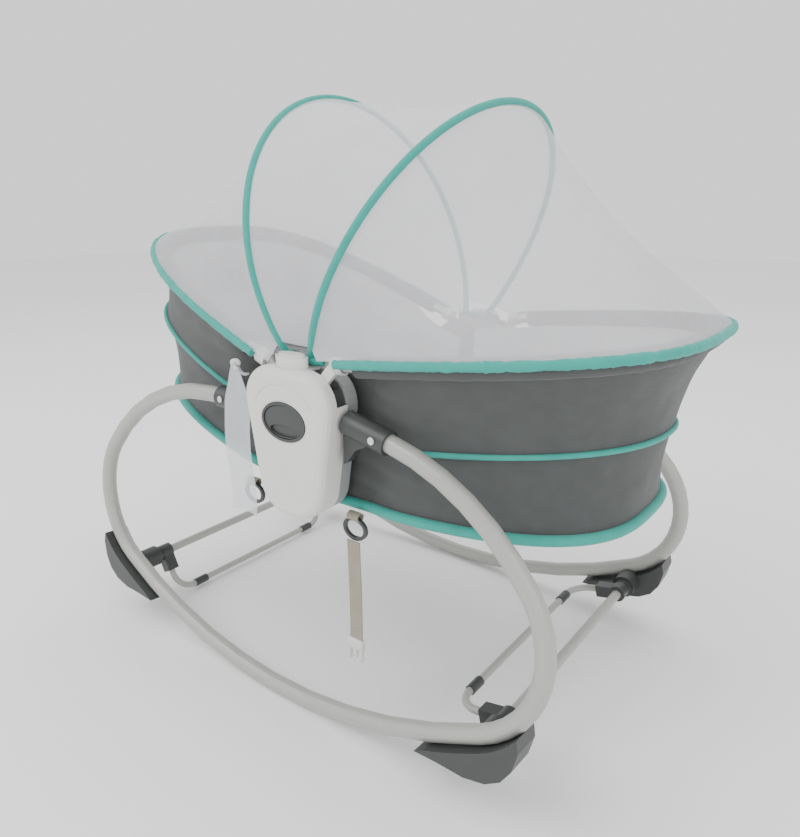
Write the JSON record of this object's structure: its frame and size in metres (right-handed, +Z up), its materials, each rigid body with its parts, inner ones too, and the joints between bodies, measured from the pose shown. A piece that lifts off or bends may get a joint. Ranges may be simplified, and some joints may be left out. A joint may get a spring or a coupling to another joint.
{
  "type": "rocking bassinet with net canopy",
  "caption": "Baby rocker seat: fabric basket between two hubs on closed tube loops, fold-out stand bars and a net canopy on two hoops.",
  "frame": {"origin": "middle of the bounding box, on the floor", "axes": "+Z up, +X towards the foot end, -Y the near side"},
  "size_m": [0.7929, 0.4616, 0.7128],
  "materials": {
    "white_plastic": "gloss",
    "painted_tube": "satin",
    "bare_tube": "satin",
    "grey_plastic": "matte",
    "steel": "polished",
    "dark_plastic": "matte",
    "grey_fabric": "woven",
    "teal_fabric": "woven",
    "net": "sheer",
    "pad_fabric": "quilted",
    "webbing": "woven",
    "clear_film": "clear"
  },
  "bodies": {
    "frame": {"near_loop_head_tube": "painted_tube", "near_loop_foot_tube": "painted_tube", "far_loop_head_tube": "painted_tube", "far_loop_foot_tube": "painted_tube", "loop_joint_sleeves": "bare_tube", "head_arms": "dark_plastic", "foot_arms": "dark_plastic", "frame_fasteners": "steel", "near_hub_cover": "white_plastic", "far_hub_cover": "white_plastic", "near_hub_shell": "grey_plastic", "far_hub_shell": "grey_plastic", "hub_axles": "steel", "latch_rings": "dark_plastic", "near_bolt_spring": "steel", "far_bolt_spring": "steel", "head_feet": "dark_plastic", "foot_feet": "dark_plastic", "head_cross_tube": "painted_tube", "foot_cross_tube": "painted_tube", "cross_tube_caps": "dark_plastic", "head_gusset": "grey_fabric", "foot_gusset": "grey_fabric", "net_head_outer": "net", "net_head_inner": "net", "net_crown_head": "net", "net_crown_foot": "net", "net_foot_inner": "net", "net_foot_outer": "net", "clear_flap": "clear_film"},
    "head_section": {"head_bow": "bare_tube", "head_bow_plates": "white_plastic", "head_seat": "bare_tube", "head_pad": "pad_fabric", "head_wall": "grey_fabric", "head_piping": "teal_fabric", "head_hem": "teal_fabric", "head_rings": "dark_plastic"},
    "foot_section": {"foot_bow": "bare_tube", "foot_bow_plates": "white_plastic", "foot_seat": "bare_tube", "foot_pad": "pad_fabric", "foot_wall": "grey_fabric", "foot_piping": "teal_fabric", "foot_hem": "teal_fabric", "foot_rings": "dark_plastic", "strap": "webbing", "strap_buckle": "white_plastic"},
    "head_hoop_body": {"head_hoop": "teal_fabric"},
    "foot_hoop_body": {"foot_hoop": "teal_fabric"},
    "head_stand": {"head_bail": "painted_tube", "head_bail_grips": "dark_plastic"},
    "foot_stand": {"foot_bail": "painted_tube", "foot_bail_grips": "dark_plastic"},
    "near_latch_body": {"near_latch": "dark_plastic"},
    "far_latch_body": {"far_latch": "dark_plastic"},
    "near_button_body": {"near_button": "white_plastic"},
    "far_button_body": {"far_button": "white_plastic"},
    "near_bolt_body": {"near_lock_bolt": "steel"},
    "far_bolt_body": {"far_lock_bolt": "steel"}
  },
  "joints": [
    {"name": "head_recline", "type": "hinge", "parent": "frame", "child": "head_section", "pos_m": [0.0154, 0, 0.36], "axis": [0, 1, 0], "range_deg": [-6, 10], "deforming": ["head_gusset", "net_head_outer"]},
    {"name": "foot_recline", "type": "hinge", "parent": "frame", "child": "foot_section", "pos_m": [0.0154, 0, 0.36], "axis": [0, -1, 0], "range_deg": [-4, 10], "deforming": ["foot_gusset", "net_foot_outer"]},
    {"name": "head_hoop_swing", "type": "hinge", "parent": "frame", "child": "head_hoop_body", "pos_m": [-0.0066, 0, 0.425], "axis": [0, 1, 0], "range_deg": [-6, 6], "deforming": ["net_head_inner", "net_crown_head"]},
    {"name": "foot_hoop_swing", "type": "hinge", "parent": "frame", "child": "foot_hoop_body", "pos_m": [0.0284, 0, 0.425], "axis": [0, 1, 0], "range_deg": [-6, 6], "deforming": ["net_foot_inner", "net_crown_foot"]},
    {"name": "head_bail_swing", "type": "hinge", "parent": "frame", "child": "head_stand", "pos_m": [-0.3296, 0, 0.068], "axis": [0, -1, 0], "range_deg": [0, 52]},
    {"name": "foot_bail_swing", "type": "hinge", "parent": "frame", "child": "foot_stand", "pos_m": [0.2704, 0, 0.068], "axis": [0, -1, 0], "range_deg": [0, 52]},
    {"name": "near_latch_pull", "type": "hinge", "parent": "frame", "child": "near_latch_body", "pos_m": [0.0154, -0.215, 0.374], "axis": [-1, 0, 0], "range_deg": [0, 18], "stiffness_Nm_per_rad": 0.05},
    {"name": "near_button_press", "type": "slide", "parent": "frame", "child": "near_button_body", "axis": [0, 0, -1], "range_m": [0, 0.004], "stiffness_N_per_m": 400},
    {"name": "near_bolt_slide", "type": "slide", "parent": "frame", "child": "near_bolt_body", "axis": [0, -1, 0], "range_m": [0, 0.0046], "stiffness_N_per_m": 0.5, "deforming": ["near_bolt_spring"]},
    {"name": "far_latch_pull", "type": "hinge", "parent": "frame", "child": "far_latch_body", "pos_m": [0.0154, 0.215, 0.374], "axis": [1, 0, 0], "range_deg": [0, 18], "stiffness_Nm_per_rad": 0.05},
    {"name": "far_button_press", "type": "slide", "parent": "frame", "child": "far_button_body", "axis": [0, 0, -1], "range_m": [0, 0.004], "stiffness_N_per_m": 400},
    {"name": "far_bolt_slide", "type": "slide", "parent": "frame", "child": "far_bolt_body", "axis": [0, 1, 0], "range_m": [0, 0.0046], "stiffness_N_per_m": 0.5, "deforming": ["far_bolt_spring"]}
  ],
  "couplings": [
    {"joint": "near_bolt_slide", "follows": "near_latch_pull", "m_per_rad": 0.0143},
    {"joint": "far_bolt_slide", "follows": "far_latch_pull", "m_per_rad": 0.0143}
  ]
}
